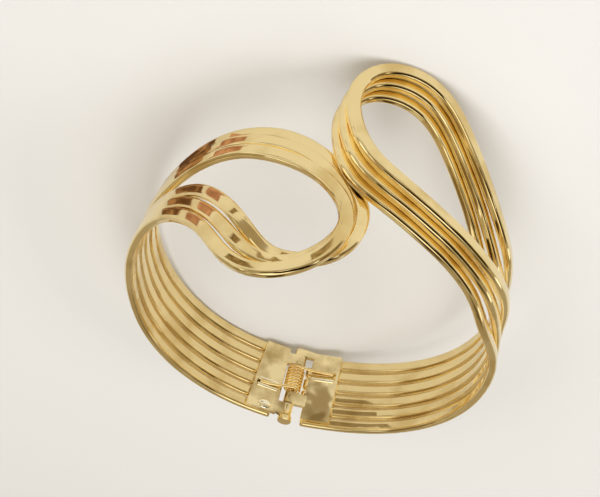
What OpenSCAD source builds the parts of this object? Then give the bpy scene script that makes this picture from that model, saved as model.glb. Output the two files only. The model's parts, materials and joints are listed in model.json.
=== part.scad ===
// Spring-hinged wrap bracelet of polished metal strips.
// Two halves of three flat strips each bend into long loops that pass over one another at the
// top of the wrist. A small sprung hinge joins the halves on the far side.
// Sizes are in millimetres. The bracelet lies on its side, as it would on a table.

/* [Ring] */
// Outside width of the oval ring
ring_width = 63; // [61:0.5:65]
// Outside length of the oval ring, from the hinge side to the loops
ring_length = 69.6; // [67:0.1:72]
// How square the oval is, where 2 is an ellipse
squareness = 2.2; // [2.1:0.05:2.3]
// How far each half leans inwards, in degrees
lean_in = 2.3; // [1.8:0.1:2.6]
// Distance along the band from the middle of the oval's end to the hinge
hinge_offset = 6.5; // [6:0.1:7]

/* [Strips] */
// Width of one strip
strip_width = 2.1; // [1.8:0.05:2.15]
// Thickness of one strip
strip_thickness = 1.35; // [1:0.05:1.38]
// Bevel along a strip's edges
strip_bevel = 0.3; // [0.1:0.05:0.4]
// Distance along the band from the hinge to the inner strips' ends
strip_start = 1.95; // [1.9:0.05:2.3]
// Distance along the band from the hinge to the ends of the strips at the band's two edges
edge_strip_start = 3; // [2.8:0.1:3.4]

/* [Hinge] */
// Height of the hinge pin's middle above the band's outer face
pin_height = 1.7; // [1.6:0.1:2]
// Diameter of the hinge pin
pin_diameter = 1.1; // [0.9:0.05:1.2]
// Room between the pin and the knuckles' bores, all round
pin_room = 0.05; // [0.03:0.01:0.08]
// Diameter of the pin's head
head_diameter = 2.6; // [2.2:0.1:2.8]
// Thickness of the pin's head
head_thickness = 0.9; // [0.6:0.1:1]
// Bevel round the pin's head
head_bevel = 0.12; // [0.05:0.01:0.2]
// Outside diameter of the knuckles
knuckle_diameter = 2.1; // [1.9:0.1:2.3]
// Outside diameter of the left leaf's far knuckle, the widest one
wide_knuckle_diameter = 2.9; // [2.6:0.1:3.1]
// Thickness of the leaves' sheet
leaf_thickness = 0.7; // [0.5:0.05:0.8]
// Room between a leaf and the strips below it, filled with solder on the real thing
solder_room = 0.06; // [0.05:0.01:0.1]

/* [Spring] */
// Diameter of the spring's wire
wire_diameter = 0.56; // [0.4:0.02:0.6]
// Outside diameter of the spring's coil
coil_diameter = 3.4; // [3.1:0.1:3.5]
// Turns in the coil
coil_turns = 7; // [5:1:8]

/* [Resting place] */
// Turn about the line through both sides of the ring that brings the loops up off the table
rest_pitch = 8.9; // [8:0.1:12]
// Turn about the line from the hinge to the loops
rest_roll = -6.6; // [-9:0.1:0]
// Move that centres the bracelet and sets it on the table
rest_move = [-0.8, -34.35, 8.23];

/* [Shown] */
// Piece to draw, or all

/* [Hidden] */
$fn = 48;
right = 1;
left = -1;
gold = [0.87, 0.7, 0.36];
deep_gold = [0.78, 0.58, 0.26];

// Right loop, the top strip. The last three columns step from one strip to the next below it.
// along: distance from the hinge; across: place across the band; rise: height of the face;
// side: step across; drop: step down; reach: step along
right_rows = [
    // along, across, rise, side, drop, reach
    [56.5, -1.24, 0, 2.47, 0, 0],
    [62.5, -1.6, 0.8, 2.4, 0.9, 0],
    [68.5, -2.6, 1.5, 2.2, 1.52, 0],
    [74.5, -3.6, 1.8, 1.6, 1.52, 0],
    [80.5, -3.8, 1.8, 1.25, 1.52, 0],
    [85.8, -3.4, 1.8, 1.2, 1.52, 0],
    [89.9, -2.8, 1.8, 1.2, 1.52, 0.1],
    [93.7, -1.8, 1.8, 1.2, 1.52, 0.2],
    [97.1, -0.5, 1.8, 1.25, 1.52, 0.4],
    [100.1, 1.1, 1.8, 1.3, 1.52, 0.6],
    [102.6, 3.6, 1.8, 1.35, 1.52, 0.66],
    [104.4, 7.1, 1.8, 1.4, 1.52, 0.66],
    [105.3, 11.1, 1.8, 1.4, 1.52, 0.66],
    [104.6, 14.7, 1.8, 1.4, 1.52, 0.66],
    [102, 17.7, 1.8, 1.4, 1.52, 0.6],
    [97.8, 18.8, 1.8, 1.4, 1.52, 0.5],
    [93.6, 18.1, 1.8, 1.35, 1.52, 0.3],
    [90, 15.9, 1.8, 1.3, 1.52, 0.2],
    [86.4, 12.5, 1.8, 1.3, 1.52, 0.1],
    [82.4, 9, 1.8, 1.3, 1.52, 0],
    [77.7, 6, 1.7, 1.5, 1.52, 0],
    [72.5, 4.5, 1.5, 2, 1.52, 0],
    [66.5, 4.7, 1, 2.35, 1.2, 0],
    [60.5, 5.7, 0.4, 2.45, 0.5, 0],
    [54.5, 6.18, 0, 2.47, 0, 0]
];

// Left loop, the strip that is on top at the tip
left_top_rows = [
    // along, across, rise
    [43.5, -6.18, 0],
    [50.5, -6.18, 0],
    [57.5, -6.18, 0],
    [64.5, -6.2, 0],
    [70.5, -6.5, 0],
    [75.6, -7.65, 0],
    [80.5, -9.85, 0],
    [84.5, -12.75, 0],
    [87.7, -16.1, -0.05],
    [91.2, -18.6, -0.1],
    [95.3, -19.3, -0.2],
    [99.9, -17.6, -0.2],
    [103, -14.2, -0.2],
    [104.4, -9.9, -0.2],
    [103.4, -6.4, -0.2],
    [100.3, -3.1, -0.2],
    [96, -0.9, -0.2],
    [91.3, 0.5, -0.2],
    [86.5, 1.4, -0.3],
    [81.5, 1.6, -0.6],
    [76, 1.4, -0.9],
    [69.5, 1.24, -1.2],
    [62.5, 1.24, -0.8],
    [55.5, 1.24, -0.3],
    [48.5, 1.24, 0],
    [41.5, 1.24, 0]
];

// Left loop, the strip between the other two
left_middle_rows = [
    // along, across, rise
    [43.5, -3.7, 0],
    [50.5, -3.7, 0],
    [57.5, -3.7, 0],
    [64.5, -3.8, -0.4],
    [70.1, -4.2, -0.6],
    [75.5, -5.25, -0.7],
    [80.4, -7.2, -0.5],
    [84.6, -9.9, -0.2],
    [88, -12.9, 0],
    [90.9, -15.7, -0.1],
    [93.9, -17, -0.9],
    [97.1, -16.7, -1.7],
    [100.7, -14.8, -1.85],
    [103.9, -10.8, -1.85],
    [104.3, -6.3, -1.85],
    [102.3, -2.8, -1.85],
    [98.9, 0.6, -1.8],
    [94.7, 2.6, -1.6],
    [90.1, 3.6, -1.3],
    [84.9, 4.1, -1.1],
    [79.5, 4, -1.35],
    [73.5, 3.8, -1.8],
    [66.5, 3.7, -1.7],
    [58.5, 3.7, -0.9],
    [50.5, 3.7, -0.2],
    [42.5, 3.7, 0]
];

// Left loop, the strip that dives under the other two
left_under_rows = [
    // along, across, rise
    [43.5, -1.24, 0],
    [50.5, -1.24, 0],
    [57.5, -1.3, -0.3],
    [64.5, -1.35, -0.9],
    [71, -2, -1.2],
    [76.8, -3.25, -1],
    [81.7, -5.25, -0.2],
    [85.9, -7.95, 0.4],
    [89, -10.7, 0.5],
    [91.2, -12.9, -0.5],
    [93.1, -14.2, -2.1],
    [95.4, -14.7, -3.2],
    [98.5, -14.6, -3.6],
    [102.3, -13.6, -3.6],
    [105.5, -10.6, -3.6],
    [106.7, -6.9, -3.6],
    [106, -3.4, -3.7],
    [103.4, -0.1, -3.7],
    [99.9, 2.8, -3.6],
    [95.7, 4.9, -3.1],
    [90.9, 6.2, -2.7],
    [85.7, 6.6, -2.4],
    [80.1, 6.5, -2.3],
    [74.1, 6.3, -2.5],
    [67.5, 6.25, -2.4],
    [60.5, 6.18, -1.5],
    [53.5, 6.18, -0.5],
    [46.5, 6.18, 0],
    [40.5, 6.18, 0]
];

// Places along the pin where each piece starts and ends, near side first
right_near_knuckle = [-4.1, -1.8];
right_far_knuckle = [6, 7.4];
left_near_knuckle = [-6.6, -4.25];
left_far_knuckle = [3.7, 5.85];
coil_span = [-1.43, 3.58];
pin_span = [-6.85, 7.3];
right_leaf_span = [-6.6, 7.4];
left_leaf_span = [-6.9, 7];
// Places along the band where each leaf starts and ends
right_leaf_reach = [3, 8.5];
left_leaf_reach = [2.4, 8.2];
// How much shorter the left leaf is at its far end
left_leaf_skew = 1.1;
// Slots for the spring's legs: place along the pin, width, then from and to along the band
right_slot = [3, 1.5, 1.5, 7.8];
left_slot = [-1.7, 0.65, 1.5, 6.9];
// Rounded lip along a slot, trimmed a little by the slot's wall
lip_diameter = 0.74;
lip_start = 0.4;
lip_stop = 0.12;
lip_trim = 0.05;
// Spring's legs, from the outer end of the left one: place along the band, across from the slot's
// middle or the coil's far end, and height above the leaf's lower face
left_leg_rows = [
    // along, across, height
    [6.4, 0, 0.85],
    [4.5, 0, 1.04],
    [2.6, 0.25, 1.36]
];
right_leg_rows = [
    // along, across, height
    [2.9, 0.05, 1.3],
    [7.3, 0.1, 0.6]
];
// Drop of solder on the left leaf: place along the band and along the pin
bead_place = [4.5, -5.85];
bead_radius = 1.05;
bead_spread = 0.42;
bead_height = 0.5;
bead_root = 0.3;

// Oval of the ring in its own plane: width first, then length from the hinge end
function power(x, e) = sign(x) * pow(abs(x), e);
function oval(t) = [
    ring_width / 2 * power(sin(t), 2 / squareness),
    ring_length / 2 * (1 - power(cos(t), 2 / squareness))
];
function oval_out(t) = let(
    n = [
        power(sin(t), 2 - 2 / squareness) / ring_width,
        -power(cos(t), 2 - 2 / squareness) / ring_length
    ]
) n / norm(n);
function turned(p, a) = [p[0] * cos(a) - p[1] * sin(a), p[0] * sin(a) + p[1] * cos(a)];

// Angle on the oval at a distance along it
arc_step = 0.5;
arc_table = [
    for (
        i = 0, run = 0;
        i <= 250 / arc_step;
        i = i + 1, run = run + norm(oval(i * arc_step) - oval((i - 1) * arc_step))
    ) [run, i * arc_step]
];
function angle_at(s) = sign(s) * lookup(abs(s), arc_table);

// The pin stands at the origin, with the band level at the hinge
pin_angle = angle_at(-hinge_offset);
pin_spot = oval(pin_angle) - oval_out(pin_angle) * pin_height;
level_turn = atan2(-oval_out(pin_angle)[0], -oval_out(pin_angle)[1]);
function band_point(side, along) = let(
    p = turned(oval(angle_at(along - side * hinge_offset)), lean_in)
) turned([side * p[0], p[1]] - pin_spot, level_turn);
function band_out(side, along) = let(
    n = turned(oval_out(angle_at(along - side * hinge_offset)), lean_in)
) turned([side * n[0], n[1]], level_turn);

// Smooth run through the rows of a table, with the plain band added at both ends. Strips past
// these places across the band end further from the hinge.
band_rows = 6;
steps_per_row = 3;
near_edge_right = -3;
near_edge_left = -5;
far_edge = 5;
function at_edge(side, across) =
    across < (side > 0 ? near_edge_right : near_edge_left) || across > far_edge;
function band_run(side, row) = let(start = at_edge(side, row[1]) ? edge_strip_start : strip_start) [
    for (i = [0 : band_rows - 1])
        [start + (row[0] - start) * i / band_rows, row[1], 0]
];
function whole_run(side, rows) = concat(
    band_run(side, rows[0]),
    rows,
    [for (i = [1 : band_rows]) band_run(side, rows[len(rows) - 1])[band_rows - i]]
);
function padded(rows) = let(last = len(rows) - 1) concat(
    [2 * rows[0] - rows[1]], rows, [2 * rows[last] - rows[last - 1]]
);
function pulled(rows) = let(r = padded(rows)) [
    for (i = [1 : len(rows)]) r[i] + (2 * r[i] - r[i - 1] - r[i + 1]) / 6
];
function blend_at(r, i, u) = (
    pow(1 - u, 3) * r[i]
    + (3 * pow(u, 3) - 6 * pow(u, 2) + 4) * r[i + 1]
    + (-3 * pow(u, 3) + 3 * pow(u, 2) + 3 * u + 1) * r[i + 2]
    + pow(u, 3) * r[i + 3]
) / 6;
function smooth_run(rows) = let(r = padded(pulled(rows)), spans = len(r) - 3) [
    for (k = [0 : spans * steps_per_row])
        let(i = min(floor(k / steps_per_row), spans - 1))
        blend_at(r, i, k / steps_per_row - i)
];

// A strip follows a run of rows round the ring, its broad face outwards
function strip_middle(side, row) = let(
    p = band_point(side, row[0]) + band_out(side, row[0]) * (row[2] - strip_thickness / 2)
) [p[0], row[1], p[1]];
function unit(v) = v / norm(v);
function strip_rings(side, run) = let(
    mids = [for (row = run) strip_middle(side, row)],
    last = len(mids) - 1,
    w = strip_width / 2,
    t = strip_thickness / 2,
    b = strip_bevel,
    section = [
        [w - b, t], [w, t - b], [w, b - t], [w - b, -t],
        [b - w, -t], [-w, b - t], [-w, t - b], [b - w, t]
    ]
) [
    for (i = [0 : last])
        let(
            ahead = unit(mids[min(i + 1, last)] - mids[max(i - 1, 0)]),
            n = band_out(side, run[i][0]),
            face = [n[0], 0, n[1]],
            up = unit(face - (face * ahead) * ahead),
            over = cross(up, ahead)
        )
        for (c = section) mids[i] + over * c[0] * side + up * c[1]
];
module strip(side, rows) {
    run = smooth_run(whole_run(side, rows));
    points = strip_rings(side, run);
    sides = 8;
    rings = len(run);
    quads = [
        for (i = [0 : rings - 2], k = [0 : sides - 1])
            let(
                a = i * sides + k,
                b = i * sides + (k + 1) % sides,
                c = b + sides,
                d = a + sides
            )
            [a, b, c, d]
    ];
    walls = [for (q = quads) each [[q[0], q[1], q[2]], [q[0], q[2], q[3]]]];
    ends = [
        for (k = [1 : sides - 2]) each [
            [0, k + 1, k],
            [(rings - 1) * sides, (rings - 1) * sides + k, (rings - 1) * sides + k + 1]
        ]
    ];
    faces = concat(walls, ends);
    polyhedron(points, side > 0 ? faces : [for (f = faces) [f[2], f[1], f[0]]]);
}

// Rows of the right loop's strips, counted down from the top one
function right_strip_rows(k) = [
    for (r = right_rows) [r[0] + k * r[5], r[1] - k * r[3], r[2] - k * r[4]]
];

module right_strip_top() {
    color(gold) strip(right, right_strip_rows(0));
}

module right_strip_middle() {
    color(gold) strip(right, right_strip_rows(1));
}

module right_strip_under() {
    color(gold) strip(right, right_strip_rows(2));
}

module left_strip_top() {
    color(gold) strip(left, left_top_rows);
}

module left_strip_middle() {
    color(gold) strip(left, left_middle_rows);
}

module left_strip_under() {
    color(gold) strip(left, left_under_rows);
}

// Draws an outline of the plane across the pin over a span along the pin
module over_span(span) {
    translate([0, span[1], 0])
        rotate([90, 0, 0])
            linear_extrude(span[1] - span[0])
                children();
}

// Lower face of a leaf, a straight line across the band's hollow side
function leaf_foot(side, along) =
    band_point(side, along) - band_out(side, along) * (strip_thickness + solder_room);
function leaf_line(side, reach) = [leaf_foot(side, reach[0]), leaf_foot(side, reach[1])];
function leaf_way(side, reach) = let(l = leaf_line(side, reach)) (l[1] - l[0]) / norm(l[1] - l[0]);
function leaf_up(side, reach) = let(w = leaf_way(side, reach)) [-w[1] * side, w[0] * side];

module leaf_plate(side, reach, span, skew = 0) {
    l = leaf_line(side, reach);
    length = norm(l[1] - l[0]);
    on_leaf(side, reach, reach[0], 0)
        translate([0, 0, -leaf_thickness])
            linear_extrude(leaf_thickness)
                polygon([
                    [0, side * span[0]],
                    [length, side * span[0]],
                    [length - skew, side * span[1]],
                    [0, side * span[1]]
                ]);
}

// A knuckle round the pin with a flat strap that runs from it into the leaf
strap_lap = 0.4;
strap_start = 0.4;
strap_drop = 0.08;
module knuckle(side, reach, span, diameter = knuckle_diameter) {
    l = leaf_line(side, reach);
    lap = l[0] + leaf_way(side, reach) * strap_lap;
    over_span(span) {
        circle(d = diameter);
        polygon([
            lap,
            lap + leaf_up(side, reach) * leaf_thickness,
            [side * strap_start, diameter / 2 - strap_drop],
            [0, 0],
            [side * strap_start, l[0][1]]
        ]);
    }
}

module pin_bore(span) {
    translate([0, span[1] + 1, 0])
        rotate([90, 0, 0])
            cylinder(h = span[1] - span[0] + 2, d = pin_diameter + 2 * pin_room);
}

// Sets a child on a leaf's upper face, its x along the band away from the pin
module on_leaf(side, reach, along, across) {
    l = leaf_line(side, reach);
    w = leaf_way(side, reach);
    spot = l[0] + w * (along - reach[0]) + leaf_up(side, reach) * leaf_thickness;
    translate([spot[0], across, spot[1]])
        rotate([0, -atan2(w[1], w[0] * side) * side, 0])
            scale([side, side, 1])
                children();
}

module slot_cut(side, reach, slot) {
    depth = 4;
    on_leaf(side, reach, slot[2], slot[0])
        translate([0, -slot[1] / 2, -depth / 2])
            cube([slot[3] - slot[2], slot[1], depth]);
}

module slot_lip(side, reach, slot, edge) {
    across = slot[0] + edge * ((slot[1] + lip_diameter) / 2 - lip_trim);
    on_leaf(side, reach, reach[0] + lip_start, across)
        rotate([0, 90, 0])
            cylinder(h = slot[3] - reach[0] - lip_start - lip_stop, d = lip_diameter);
}

// Low oval drop of solder, two balls run together and sunk into the leaf
module bead() {
    intersection() {
        translate([0, 0, bead_height - bead_radius])
            for (end = [-1, 1])
                translate([end * bead_spread, 0, 0])
                    sphere(r = bead_radius);
        translate([0, 0, bead_radius - bead_root])
            cube([4 * bead_radius, 3 * bead_radius, 2 * bead_radius], center = true);
    }
}

module right_leaf() {
    color(gold)
        difference() {
            union() {
                leaf_plate(right, right_leaf_reach, right_leaf_span);
                knuckle(right, right_leaf_reach, right_near_knuckle);
                knuckle(right, right_leaf_reach, right_far_knuckle);
                slot_lip(right, right_leaf_reach, right_slot, -1);
            }
            pin_bore(right_leaf_span);
            slot_cut(right, right_leaf_reach, right_slot);
        }
}

module left_leaf() {
    color(gold)
        difference() {
            union() {
                leaf_plate(left, left_leaf_reach, left_leaf_span, left_leaf_skew);
                knuckle(left, left_leaf_reach, left_near_knuckle);
                knuckle(left, left_leaf_reach, left_far_knuckle, wide_knuckle_diameter);
                slot_lip(left, left_leaf_reach, left_slot, 1);
                slot_lip(left, left_leaf_reach, left_slot, -1);
                on_leaf(left, left_leaf_reach, bead_place[0], bead_place[1])
                    bead();
            }
            pin_bore(left_leaf_span);
            slot_cut(left, left_leaf_reach, left_slot);
        }
}

module hinge_pin() {
    color(deep_gold) {
        translate([0, pin_span[1], 0])
            rotate([90, 0, 0])
                cylinder(h = pin_span[1] - pin_span[0], d = pin_diameter);
        translate([0, pin_span[0], 0])
            rotate([90, 0, 0])
                cylinder(h = head_thickness - head_bevel, d = head_diameter);
        translate([0, pin_span[0] - head_thickness + head_bevel, 0])
            rotate([90, 0, 0])
                cylinder(h = head_bevel, d1 = head_diameter, d2 = head_diameter - 2 * head_bevel);
    }
}

// The spring's coil with a straight leg at each end, lying in the leaves' slots
coil_radius = (coil_diameter - wire_diameter) / 2;
steps_per_turn = 14;
coil_start = coil_span[0] + wire_diameter / 2;
coil_end = coil_span[1] - wire_diameter / 2;
function leg_run(side, reach, rows, across) = let(
    l = leaf_line(side, reach),
    w = leaf_way(side, reach),
    up = leaf_up(side, reach)
) [
    for (r = rows)
        let(p = l[0] + w * (r[0] - reach[0]) + up * r[2])
        [p[0], across + r[1], p[1]]
];
coil_run = concat(
    leg_run(left, left_leaf_reach, left_leg_rows, left_slot[0]),
    [
        for (k = [0 : coil_turns * steps_per_turn])
            let(a = 90 - 360 * k / steps_per_turn)
            [
                coil_radius * cos(a),
                coil_start + (coil_end - coil_start) * k / (coil_turns * steps_per_turn),
                coil_radius * sin(a)
            ]
    ],
    leg_run(right, right_leaf_reach, right_leg_rows, coil_end)
);
module hinge_spring() {
    sides = 6;
    last = len(coil_run) - 1;
    points = [
        for (i = [0 : last])
            let(
                ahead = unit(coil_run[min(i + 1, last)] - coil_run[max(i - 1, 0)]),
                over = unit(cross(ahead, [0, 1, 0])),
                up = cross(over, ahead)
            )
            for (k = [0 : sides - 1])
                coil_run[i] + (over * cos(60 * k) + up * sin(60 * k)) * wire_diameter / 2
    ];
    walls = [
        for (i = [0 : last - 1], k = [0 : sides - 1])
            let(
                a = i * sides + k,
                b = i * sides + (k + 1) % sides
            )
            each [[a, b, b + sides], [a, b + sides, a + sides]]
    ];
    ends = [
        for (k = [1 : sides - 2]) each [
            [0, k + 1, k],
            [last * sides, last * sides + k, last * sides + k + 1]
        ]
    ];
    color(deep_gold) polyhedron(points, concat(walls, ends));
}

// Lays the bracelet on its side on the table
module rest() {
    translate(rest_move)
        rotate([rest_pitch - 90, 0, 0])
            rotate([0, 0, rest_roll])
                children();
}

rest() {
    right_strip_top();
    right_strip_middle();
    right_strip_under();
    left_strip_top();
    left_strip_middle();
    left_strip_under();
    right_leaf();
    left_leaf();
    hinge_pin();
    hinge_spring();
}
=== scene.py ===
import json
import math
import bmesh
import bpy
from mathutils import Matrix, Vector


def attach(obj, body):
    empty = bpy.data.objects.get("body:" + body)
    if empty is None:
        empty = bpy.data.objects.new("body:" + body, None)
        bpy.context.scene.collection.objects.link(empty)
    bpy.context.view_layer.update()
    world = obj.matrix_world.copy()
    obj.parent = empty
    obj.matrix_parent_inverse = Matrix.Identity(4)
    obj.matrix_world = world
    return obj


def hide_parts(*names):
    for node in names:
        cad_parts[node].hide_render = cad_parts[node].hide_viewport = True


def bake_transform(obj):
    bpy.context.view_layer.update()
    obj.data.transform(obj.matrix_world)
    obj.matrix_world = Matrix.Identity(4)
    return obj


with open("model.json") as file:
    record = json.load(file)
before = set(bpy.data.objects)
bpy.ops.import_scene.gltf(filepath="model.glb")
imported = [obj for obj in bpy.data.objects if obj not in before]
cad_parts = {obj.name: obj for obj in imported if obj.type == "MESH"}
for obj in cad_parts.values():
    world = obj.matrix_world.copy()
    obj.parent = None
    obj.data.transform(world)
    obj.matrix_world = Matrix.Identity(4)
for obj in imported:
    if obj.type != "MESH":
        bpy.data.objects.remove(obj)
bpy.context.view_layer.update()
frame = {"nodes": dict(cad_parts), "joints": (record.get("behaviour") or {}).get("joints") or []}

mm = 0.001
scene = bpy.context.scene
nodes = frame["nodes"]
hingeJoint = frame["joints"][0]
print("frame loaded", list(nodes))

# where the hinge stands: x along the band, y along the pin, z into the ring
restPitch = 8.9  # degrees, as the bracelet lies on the floor
restRoll = -6.6
hingeTurn = (Matrix.Rotation(math.radians(restPitch - 90), 4, "X")
             @ Matrix.Rotation(math.radians(restRoll), 4, "Z"))
hingePlace = Matrix.Translation(Vector(hingeJoint["pos_m"])) @ hingeTurn


# camera at the photograph's angle
view = {
    "place": (-10.13, 141.3, 137.16),  # mm
    "target": (-4.25, 9.65, 14.55),
    "roll": -173.61,  # degrees, the hinge ends up low in the picture
    "lens": 69.68,
    "sensor": 36,
    "nearest": 0.01,  # metres
    "farthest": 20,
}


def makeCamera():
    data = bpy.data.cameras.new("photoCamera")
    data.lens = view["lens"]
    data.sensor_width = view["sensor"]
    data.clip_start = view["nearest"]
    data.clip_end = view["farthest"]
    camera = bpy.data.objects.new("photoCamera", data)
    scene.collection.objects.link(camera)
    place = Vector(view["place"]) * mm
    aim = (Vector(view["target"]) * mm - place).to_track_quat("-Z", "Y")
    camera.matrix_world = (Matrix.Translation(place) @ aim.to_matrix().to_4x4()
                           @ Matrix.Rotation(math.radians(view["roll"]), 4, "Z"))
    scene.camera = camera


makeCamera()
print("camera placed")


# small helpers for materials
def newMaterial(name):
    material = bpy.data.materials.new(name)
    material.use_nodes = True
    tree = material.node_tree
    shader = tree.nodes["Principled BSDF"]
    return material, tree, shader


def addNode(tree, kind, **values):
    node = tree.nodes.new(kind)
    for key, value in values.items():
        if hasattr(node, key):
            setattr(node, key, value)
        else:
            node.inputs[key].default_value = value
    return node


def addNoise(tree, place, scale, detail):
    noise = addNode(tree, "ShaderNodeTexNoise", Scale=scale, Detail=detail)
    tree.links.new(place.outputs["Object"], noise.inputs["Vector"])
    return noise.outputs["Fac"]


def addRange(tree, value, low, high, **values):
    step = addNode(tree, "ShaderNodeMapRange", **values)
    step.inputs["From Min"].default_value = low
    step.inputs["From Max"].default_value = high
    tree.links.new(value, step.inputs["Value"])
    return step


# each colour is four numbers or the output of another node
def addMix(tree, first, second, amount):
    mix = addNode(tree, "ShaderNodeMix", data_type="RGBA")
    for slotName, color in (("A", first), ("B", second)):
        if isinstance(color, tuple):
            mix.inputs[slotName].default_value = color
        else:
            tree.links.new(color, mix.inputs[slotName])
    tree.links.new(amount, mix.inputs["Factor"])
    return mix.outputs["Result"]


goldLook = {
    "bright": (0.83, 0.675, 0.35, 1),  # plated gold seen straight on
    "deep": (0.68, 0.51, 0.22, 1),
    "patchScale": 150,
    "patchFrom": 0.48,
    "patchTo": 0.68,
    "rough": 0.045,
    "roughPatch": 0.1,
    "roughFrom": 0.4,
    "roughTo": 0.75,
    "waveScale": 220,  # the sheet isn't quite flat
    "waveHeight": 0.12,
    "waveDepth": 0.001,  # metres
    "scratchScale": 1400,
    "scratchHeight": 0.004,
    "scratchDepth": 0.0002,
}

# the leaves are bent from thinner sheet and dented; the pale and dark blotches in their colour are painted
# reflections of the dents
leafLook = {
    **goldLook,
    "bright": (0.93, 0.79, 0.46, 1),
    "deep": (0.50, 0.37, 0.16, 1),
    "patchScale": 190,
    "patchFrom": 0.42,
    "patchTo": 0.62,
    "waveScale": 230,
    "waveHeight": 0.35,
    "rough": 0.13,
    "roughPatch": 0.24,
}

# the lips and the drop of solder are coloured paler, a painted highlight
trimPaintedHighlightLook = {
    **goldLook,
    "bright": (1.0, 0.96, 0.76, 1),
    "deep": (0.96, 0.87, 0.58, 1),
    "rough": 0.14,
    "roughPatch": 0.2,
}

springLook = {
    **goldLook,
    "bright": (1.0, 0.81, 0.42, 1),
    "deep": (0.85, 0.60, 0.25, 1),
}


def makeGold(name, look):
    material, tree, shader = newMaterial(name)
    link = tree.links.new
    shader.inputs["Metallic"].default_value = 1
    place = addNode(tree, "ShaderNodeTexCoord")
    patches = addNoise(tree, place, look["patchScale"], 3)
    spread = addRange(tree, patches, look["patchFrom"], look["patchTo"])
    tint = addMix(tree, look["bright"], look["deep"], spread.outputs["Result"])
    link(tint, shader.inputs["Base Color"])
    smear = addRange(tree, patches, look["roughFrom"], look["roughTo"])
    smear.inputs["To Min"].default_value = look["rough"]
    smear.inputs["To Max"].default_value = look["roughPatch"]
    link(smear.outputs["Result"], shader.inputs["Roughness"])
    waves = addNoise(tree, place, look["waveScale"], 1)
    waveBump = addNode(tree, "ShaderNodeBump", Strength=look["waveHeight"], Distance=look["waveDepth"])
    link(waves, waveBump.inputs["Height"])
    scratches = addNoise(tree, place, look["scratchScale"], 2)
    scratchBump = addNode(tree, "ShaderNodeBump", Strength=look["scratchHeight"],
                          Distance=look["scratchDepth"])
    link(scratches, scratchBump.inputs["Height"])
    link(waveBump.outputs["Normal"], scratchBump.inputs["Normal"])
    link(scratchBump.outputs["Normal"], shader.inputs["Normal"])
    return material


gold = makeGold("polishedGold", goldLook)
leafGold = makeGold("leafGold", leafLook)
# the lips' and the bead's paler colour is a painted highlight
trimPaintedHighlightGold = makeGold("trimPaintedHighlightGold", trimPaintedHighlightLook)
springGold = makeGold("springGold", springLook)
print("materials made")


def finishPiece(name, mesh, body, replaced, material):
    data = bpy.data.meshes.new(name)
    mesh.to_mesh(data)
    mesh.free()
    piece = bpy.data.objects.new(name, data)
    scene.collection.objects.link(piece)
    data.materials.append(material)
    for face in data.polygons:
        face.use_smooth = True
    if body:
        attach(piece, body)
    if replaced:
        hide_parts(*replaced)
    return piece


# a node's name as the start of a piece's name
def plainName(nodeName):
    return nodeName.replace("_", " ").title().replace(" ", "")


strips = {
    "right_half": ("right_strip_top", "right_strip_middle", "right_strip_under"),
    "left_half": ("left_strip_top", "left_strip_middle", "left_strip_under"),
    "mergeWithin": 0.002,  # mm
    "edgeAngle": 25,  # degrees, past which an edge stays crisp
    "crease": 0.8,
    "levels": 2,
}


def longestEdge(face):
    return max(face.edges, key=lambda edge: edge.calc_length())


def makeStrip(nodeName, body):
    mesh = bmesh.new()
    mesh.from_mesh(nodes[nodeName].data)
    bmesh.ops.remove_doubles(mesh, verts=mesh.verts, dist=strips["mergeWithin"] * mm)
    # the diagonal of each pair of triangles goes, so that four-sided faces are left
    longest = {face: longestEdge(face) for face in mesh.faces}
    across = [edge for edge in mesh.edges
              if len(edge.link_faces) == 2 and all(longest[face] == edge for face in edge.link_faces)]
    bmesh.ops.dissolve_edges(mesh, edges=across)
    layer = mesh.edges.layers.float.new("crease_edge")
    for edge in mesh.edges:
        if len(edge.link_faces) == 2 and edge.calc_face_angle() > math.radians(strips["edgeAngle"]):
            edge[layer] = strips["crease"]
    piece = finishPiece(plainName(nodeName) + "Polished", mesh, body, [nodeName], gold)
    smooth = piece.modifiers.new("smooth", "SUBSURF")
    smooth.levels = strips["levels"]
    smooth.render_levels = strips["levels"]


for body in ("right_half", "left_half"):
    for nodeName in strips[body]:
        makeStrip(nodeName, body)
print("strips made")


# mm, in the hinge's frame: the foot is the sheet's outer edge by the pin, the tip its far edge
leaves = {
    "right_leaf": {
        "body": "right_half",
        "foot": (2.837, -0.306),  # along the band, into the ring
        "tip": (8.07, 0.704),
        "across": (-6.6, 7.4),
        "skew": 0,
        "inner": 0,
        "slot": (2.25, 3.75, 4.8),  # from, to and how deep
        "knuckles": ((-4.1, -1.8, 1.05), (6, 7.4, 1.05)),  # from, to, radius
        "lips": ((1.93, 4.68),),  # place, end
        "beadPlace": None,
    },
    "left_leaf": {
        "body": "left_half",
        "foot": (-2.246, 0.147),
        "tip": (-7.628, 1.324),
        "across": (-6.9, 7),
        "skew": 1.1,
        "inner": -0.28,  # the sheet's edge comes close to the coil
        "slot": (-2.025, -1.375, 4.5),
        "knuckles": ((-6.6, -4.25, 1.05), (3.7, 5.85, 1.45)),
        "lips": ((-1.055, 4.38), (-2.345, 4.38)),
        "beadPlace": (2.1, -5.85),
    },
    "thick": 0.7,
    "bore": 0.6,
    "tubeSteps": 48,
    "flatWithin": 1e-6,
    "spanSlack": 0.01,
    "edge": 0.11,  # rounding of the sheet's and the knuckles' edges
    "fineEdge": 0.08,  # rounding of the straps' edges
    "segments": 3,
    "sharpAngle": 30,  # degrees, past which an edge is rounded
    "lipRadius": 0.37,
    "lipStart": 0.4,
    "lipEdge": 0.15,
    "lipSides": 24,
    "strapLap": 0.45,  # how far a strap runs into the sheet
    "strapTop": (0.4, 0.08),  # along the band, below the knuckle's outside
    "strapInner": (0.8, 0.05),
    "strapFoot": 0.72,
    "beadSize": (1.31, 0.9, 0.5),  # half length, half width, height
    "beadSegments": (32, 20),
    "flatWeight": 80,
}


def addSquare(mesh, width):
    return bmesh.ops.create_grid(mesh, x_segments=1, y_segments=1, size=width / 2)["verts"]


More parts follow.
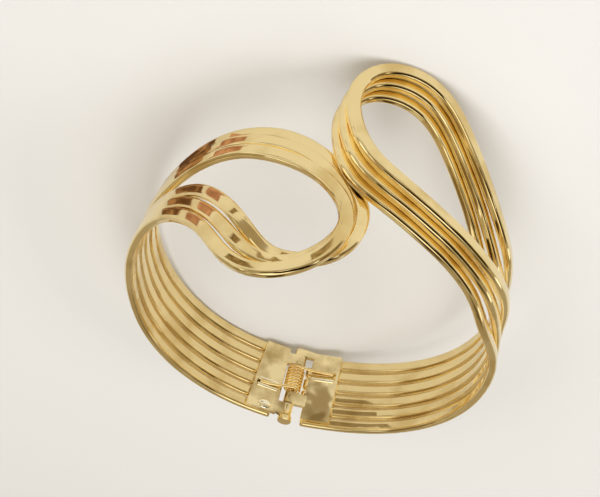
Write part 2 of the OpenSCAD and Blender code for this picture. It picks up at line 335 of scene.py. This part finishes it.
def roundEdges(mesh, faces, width):
    edges = [edge for edge in mesh.edges
             if len(edge.link_faces) == 2 and faces.intersection(edge.link_faces)
             and edge.calc_face_angle() > math.radians(leaves["sharpAngle"])]
    bmesh.ops.bevel(mesh, geom=edges, affect="EDGES", offset=width, segments=leaves["segments"],
                    profile=0.5, material=-1)


def extrudeOutline(mesh, corners, rise, width):
    face = mesh.faces.new([mesh.verts.new(corner) for corner in corners])
    made = bmesh.ops.extrude_face_region(mesh, geom=[face], use_keep_orig=True)["geom"]
    moved = [part for part in made if isinstance(part, bmesh.types.BMVert)]
    bmesh.ops.translate(mesh, verts=moved, vec=rise)
    faces = {around for vert in moved for around in vert.link_faces} | {face}
    bmesh.ops.recalc_face_normals(mesh, faces=[around for around in mesh.faces if around in faces])
    roundEdges(mesh, faces, width)


# a knuckle: a rectangle with rounded corners, spun round the pin
def addTube(mesh, start, stop, radius):
    bore = leaves["bore"]
    slack = leaves["spanSlack"]
    made = addSquare(mesh, 1)
    bmesh.ops.scale(mesh, verts=made, vec=(radius - bore, stop - start, 1))
    bmesh.ops.translate(mesh, verts=made, vec=((radius + bore) / 2, (start + stop) / 2, 0))
    bmesh.ops.bevel(mesh, geom=made, affect="VERTICES", offset=leaves["edge"],
                    segments=leaves["segments"], profile=0.5, material=-1)
    # it is the flat face at the pin's height within this knuckle's span
    section = [face for face in mesh.faces
               if all(abs(vert.co.z) < leaves["flatWithin"] for vert in face.verts)
               and start - slack < face.calc_center_median().y < stop + slack]
    edges = [edge for face in section for edge in face.edges]
    bmesh.ops.delete(mesh, geom=section, context="FACES_ONLY")
    verts = list(dict.fromkeys(vert for edge in edges for vert in edge.verts))
    bmesh.ops.spin(mesh, geom=verts + edges, cent=(0, 0, 0), axis=(0, 1, 0), angle=2 * math.pi,
                   steps=leaves["tubeSteps"], use_merge=True)


# the lips and the drop of solder, on the flat sheet
def makeTrim(leaf):
    trim = bmesh.new()
    start = leaves["lipStart"]
    radius = leaves["lipRadius"]
    for place, end in leaf["lips"]:
        span = end - start
        made = bmesh.ops.create_cone(trim, cap_ends=True, segments=leaves["lipSides"], radius1=radius,
                                     radius2=radius, depth=span)["verts"]
        bmesh.ops.rotate(trim, verts=made, cent=(0, 0, 0), matrix=Matrix.Rotation(math.pi / 2, 3, "Y"))
        bmesh.ops.translate(trim, verts=made, vec=(start + span / 2, place, leaves["thick"]))
        roundEdges(trim, {face for vert in made for face in vert.link_faces}, leaves["lipEdge"])
    if leaf["beadPlace"]:
        around, upwards = leaves["beadSegments"]
        drop = bmesh.ops.create_uvsphere(trim, u_segments=around, v_segments=upwards, radius=1)["verts"]
        bmesh.ops.scale(trim, verts=drop, vec=leaves["beadSize"])
        bmesh.ops.translate(trim, verts=drop, vec=(*leaf["beadPlace"], leaves["thick"]))
    return trim


def makeLeaf(nodeName):
    leaf = leaves[nodeName]
    foot = Vector((leaf["foot"][0], 0, leaf["foot"][1]))
    tip = Vector((leaf["tip"][0], 0, leaf["tip"][1]))
    way = (tip - foot).normalized()
    length = (tip - foot).length
    side = math.copysign(1, way.x)
    up = Vector((-way.z * side, 0, way.x * side))
    near, far = leaf["across"]
    slotNear, slotFar, slotDeep = leaf["slot"]
    inner = leaf["inner"]
    mesh = bmesh.new()
    # the sheet lies flat first: along it, across the band, up from its outer face
    outline = ((inner, near), (length, near), (length - leaf["skew"], far), (inner, far),
               (inner, slotFar), (slotDeep, slotFar), (slotDeep, slotNear), (inner, slotNear))
    extrudeOutline(mesh, [(x, y, 0) for x, y in outline], (0, 0, leaves["thick"]), leaves["edge"])
    trim = makeTrim(leaf)
    sheet = Matrix((way, (0, 1, 0), up)).transposed().to_4x4()
    sheet.translation = foot
    bmesh.ops.transform(mesh, verts=mesh.verts, matrix=sheet)
    bmesh.ops.transform(trim, verts=trim.verts, matrix=hingePlace @ Matrix.Scale(mm, 4) @ sheet)
    bmesh.ops.recalc_face_normals(trim, faces=trim.faces)
    # the straps run from the knuckles into the sheet
    lap = foot + way * leaves["strapLap"]
    topAlong, topDrop = leaves["strapTop"]
    innerAlong, innerUp = leaves["strapInner"]
    for start, stop, radius in leaf["knuckles"]:
        profile = (lap, lap + up * leaves["thick"], Vector((side * topAlong, 0, radius - topDrop)),
                   Vector((side * innerAlong, 0, innerUp)), Vector((side * leaves["strapFoot"], 0, foot.z)))
        corners = [(point.x, start, point.z) for point in profile]
        extrudeOutline(mesh, corners, (0, stop - start, 0), leaves["fineEdge"])
    for start, stop, radius in leaf["knuckles"]:
        addTube(mesh, start, stop, radius)
    bmesh.ops.transform(mesh, verts=mesh.verts, matrix=hingePlace @ Matrix.Scale(mm, 4))
    bmesh.ops.recalc_face_normals(mesh, faces=mesh.faces)
    # the trim carries the painted highlight of the lips and the bead
    finishPiece(plainName(nodeName) + "Trim", trim, leaf["body"], None, trimPaintedHighlightGold)
    piece = finishPiece(plainName(nodeName) + "Polished", mesh, leaf["body"], [nodeName], leafGold)
    flats = piece.modifiers.new("flats", "WEIGHTED_NORMAL")
    flats.weight = leaves["flatWeight"]


for nodeName in ("right_leaf", "left_leaf"):
    makeLeaf(nodeName)
print("leaves made")


nodes["hinge_pin"].data.materials.clear()
nodes["hinge_pin"].data.materials.append(gold)

# mm, in the hinge's frame
spring = {
    "wire": 0.28,  # radius
    "wireResolution": 4,
    "coil": 1.42,  # radius
    "turns": 7,
    "from": -1.15,
    "to": 3.3,
    "steps": 28,  # a turn
    "firstTurn": 90,  # degrees
    "leftLeg": ((-5.97, -1.7, 1.83), (-4.08, -1.7, 1.61), (-2.15, -1.45, 1.52)),
    "rightLeg": ((2.49, 3.35, 0.95), (6.95, 3.4, 1.1)),
}


def makeSpring():
    curve = bpy.data.curves.new("springWire", "CURVE")
    curve.dimensions = "3D"
    curve.bevel_depth = spring["wire"] * mm
    curve.bevel_resolution = spring["wireResolution"]
    curve.use_fill_caps = True
    last = spring["steps"] * spring["turns"]
    coil = []
    for step in range(last + 1):
        turn = math.radians(spring["firstTurn"]) - 2 * math.pi * step / spring["steps"]
        coil.append((spring["coil"] * math.cos(turn),
                     spring["from"] + (spring["to"] - spring["from"]) * step / last,
                     spring["coil"] * math.sin(turn)))
    run = [*spring["leftLeg"], *coil, *spring["rightLeg"]]
    line = curve.splines.new("POLY")
    line.points.add(len(run) - 1)
    for point, place in zip(line.points, run):
        point.co = (*(hingePlace @ (Vector(place) * mm)), 1)
    wire = bpy.data.objects.new("springWire", curve)
    scene.collection.objects.link(wire)
    bpy.context.view_layer.update()
    data = bpy.data.meshes.new_from_object(wire.evaluated_get(bpy.context.evaluated_depsgraph_get()))
    bpy.data.objects.remove(wire)
    mesh = bmesh.new()
    mesh.from_mesh(data)
    piece = finishPiece("springCoil", mesh, None, ["hinge_spring"], springGold)
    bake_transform(piece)


makeSpring()
print("spring made")


# pale floor and studio light
floorLook = {
    "size": 3,  # metres
    "color": (0.80, 0.81, 0.83, 1),
    "rough": 0.9,
}


def makeFloor():
    mesh = bmesh.new()
    addSquare(mesh, floorLook["size"])
    data = bpy.data.meshes.new("floor")
    mesh.to_mesh(data)
    mesh.free()
    floor = bpy.data.objects.new("floor", data)
    scene.collection.objects.link(floor)
    material, tree, shader = newMaterial("paleFloor")
    shader.inputs["Base Color"].default_value = floorLook["color"]
    shader.inputs["Roughness"].default_value = floorLook["rough"]
    data.materials.append(material)


lamps = {
    # place in mm, power in watts, size in mm, colour
    "over": ((60, 60, 420), 0.62, 300, (1, 0.99, 0.98)),
    "front": ((-260, 320, 260), 0.5, 220, (1, 0.99, 0.98)),
    "side": ((330, 120, 220), 0.4, 180, (1, 0.99, 0.98)),
}
lampAim = (0, 5, 10)  # mm


def makeLamps():
    for name, (place, power, size, color) in lamps.items():
        data = bpy.data.lights.new(name, "AREA")
        data.energy = power
        data.size = size * mm
        data.color = color
        lamp = bpy.data.objects.new(name, data)
        lamp.visible_glossy = False  # the polished metal mirrors the room alone
        lamp.location = Vector(place) * mm
        lamp.rotation_euler = (Vector(lampAim) - Vector(place)).to_track_quat("-Z", "Y").to_euler()
        scene.collection.objects.link(lamp)


room = {
    # colours by height: sine of the height above the horizon, then the colour
    "heights": (
        (-0.1, (0.75, 0.73, 0.68)),
        (0.1, (0.66, 0.57, 0.43)),
        (0.5, (0.62, 0.51, 0.35)),
        (0.85, (0.72, 0.65, 0.50)),
        (0.95, (2.2, 2.1, 1.9)),
    ),
    # round zones: turn from +Y towards +X and height in degrees, half width, soft edge, colour
    "zones": (
        (-150, 33, 12, 6, (0.95, 0.90, 0.72)),  # pale window behind
        (-168, 47, 12, 5, (0.05, 0.03, 0.01)),
        (-148, 58, 7, 4, (0.08, 0.05, 0.02)),
        (168, 33, 9, 4, (0.12, 0.08, 0.03)),
        (-108, 37, 13, 6, (0.30, 0.20, 0.09)),
        (-98, 53, 4, 2, (2.2, 2.2, 2.2)),
        (-24, 50, 10, 5, (0.07, 0.035, 0.006)),  # dark side of the room, towards the camera
        (10, 53, 14, 5, (0.03, 0.012, 0.002)),
        (45, 51, 14, 5, (0.02, 0.008, 0.001)),
        (80, 46, 13, 4, (0.01, 0.004, 0.001)),
        (100, 35, 10, 4, (0.05, 0.022, 0.004)),
        (66, 22, 8, 4, (0.30, 0.19, 0.07)),
        (72, 6, 9, 5, (0.36, 0.26, 0.15)),
        (0, 36, 7, 3, (2.2, 2.2, 2.1)),  # soft boxes
        (-62, 13, 10, 4, (2.0, 2.0, 1.9)),
        (-56, 28, 6, 3, (1.9, 1.9, 1.8)),
        (-76, 35, 5, 2, (1.8, 1.8, 1.7)),
        (121, 15, 7, 3, (2.2, 2.2, 2.2)),
        (60, 33, 4, 1.5, (1.9, 1.9, 1.8)),
    ),
    # what a ray sees once the metal has mirrored it twice, lighter than the room, because the
    # grooves came out too dark
    "between": (1.5, 1.38, 1.15, 1),
    "bounces": (1, 2),
    "strength": 0.72,
}


def wayTo(turn, height):
    flat = math.cos(math.radians(height))
    return (flat * math.sin(math.radians(turn)), flat * math.cos(math.radians(turn)),
            math.sin(math.radians(height)))


def makeWorld():
    world = bpy.data.worlds.new("studio")
    world.use_nodes = True
    scene.world = world
    tree = world.node_tree
    link = tree.links.new
    back = tree.nodes["Background"]
    back.inputs["Strength"].default_value = room["strength"]
    place = addNode(tree, "ShaderNodeTexCoord")
    way = place.outputs["Generated"]
    split = addNode(tree, "ShaderNodeSeparateXYZ")
    link(way, split.inputs["Vector"])
    color = (*room["heights"][0][1], 1)
    for (low, lowColor), (high, highColor) in zip(room["heights"], room["heights"][1:]):
        step = addRange(tree, split.outputs["Z"], low, high, interpolation_type="SMOOTHSTEP")
        color = addMix(tree, color, (*highColor, 1), step.outputs["Result"])
    for turn, height, half, soft, zoneColor in room["zones"]:
        nearness = addNode(tree, "ShaderNodeVectorMath", operation="DOT_PRODUCT")
        link(way, nearness.inputs[0])
        nearness.inputs[1].default_value = wayTo(turn, height)
        step = addRange(tree, nearness.outputs["Value"], math.cos(math.radians(half + soft / 2)),
                        math.cos(math.radians(half - soft / 2)), interpolation_type="SMOOTHSTEP")
        color = addMix(tree, color, (*zoneColor, 1), step.outputs["Result"])
    path = addNode(tree, "ShaderNodeLightPath")
    second = addRange(tree, path.outputs["Glossy Depth"], *room["bounces"])
    color = addMix(tree, color, room["between"], second.outputs["Result"])
    link(color, back.inputs["Color"])


# cards just over the floor that only mirrored rays see: painted reflections, dark patches of shade that the
# metal mirrors
flags = {
    # low and high corner in mm on the floor, colour, colour of its streaks
    "paintedReflections": {
        "brownFlag": ((-49, 12), (-24, 23), (0.13, 0.06, 0.03, 1), (0.50, 0.29, 0.16, 1)),
        "roseFlag": ((-53, 27.5), (-24.5, 37), (0.36, 0.18, 0.13, 1), (0.62, 0.36, 0.26, 1)),
        "oliveFlag": ((-62, 68), (-41, 93), (0.14, 0.09, 0.04, 1), (0.36, 0.27, 0.15, 1)),
        # painted shadow of the camera on the floor, seen only in the mirror
        "cameraFlag": ((-15, 88), (-3, 135), (0.20, 0.15, 0.08, 1), (0.45, 0.36, 0.22, 1)),
        "tanFlag": ((-12, -16), (-0.5, 8), (0.30, 0.25, 0.18, 1), (0.36, 0.31, 0.23, 1)),
    },
    "height": 1,  # mm
    "streakScale": 260,
    "streakFrom": 0.42,
    "streakTo": 0.6,
    "rough": 0.9,
}


def makeFlag(name):
    low, high, color, streakColor = flags["paintedReflections"][name]
    middle = ((low[0] + high[0]) / 2, (low[1] + high[1]) / 2, flags["height"])
    mesh = bmesh.new()
    addSquare(mesh, 1)
    bmesh.ops.scale(mesh, verts=mesh.verts, vec=(high[0] - low[0], high[1] - low[1], 1))
    bmesh.ops.translate(mesh, verts=mesh.verts, vec=middle)
    bmesh.ops.scale(mesh, verts=mesh.verts, vec=(mm, mm, mm))
    data = bpy.data.meshes.new(name)
    mesh.to_mesh(data)
    mesh.free()
    flag = bpy.data.objects.new(name, data)
    scene.collection.objects.link(flag)
    # the card's colour and streaks are a painted reflection of shade
    material, tree, shader = newMaterial(name + "Cloth")
    place = addNode(tree, "ShaderNodeTexCoord")
    streaks = addNoise(tree, place, flags["streakScale"], 2)
    spread = addRange(tree, streaks, flags["streakFrom"], flags["streakTo"])
    tint = addMix(tree, color, streakColor, spread.outputs["Result"])
    tree.links.new(tint, shader.inputs["Base Color"])
    shader.inputs["Roughness"].default_value = flags["rough"]
    data.materials.append(material)
    for sight in ("visible_camera", "visible_diffuse", "visible_shadow", "visible_transmission"):
        setattr(flag, sight, False)


makeFloor()
makeLamps()
makeWorld()
for name in flags["paintedReflections"]:
    makeFlag(name)
scene.view_settings.view_transform = "Standard"
print("floor and light made")
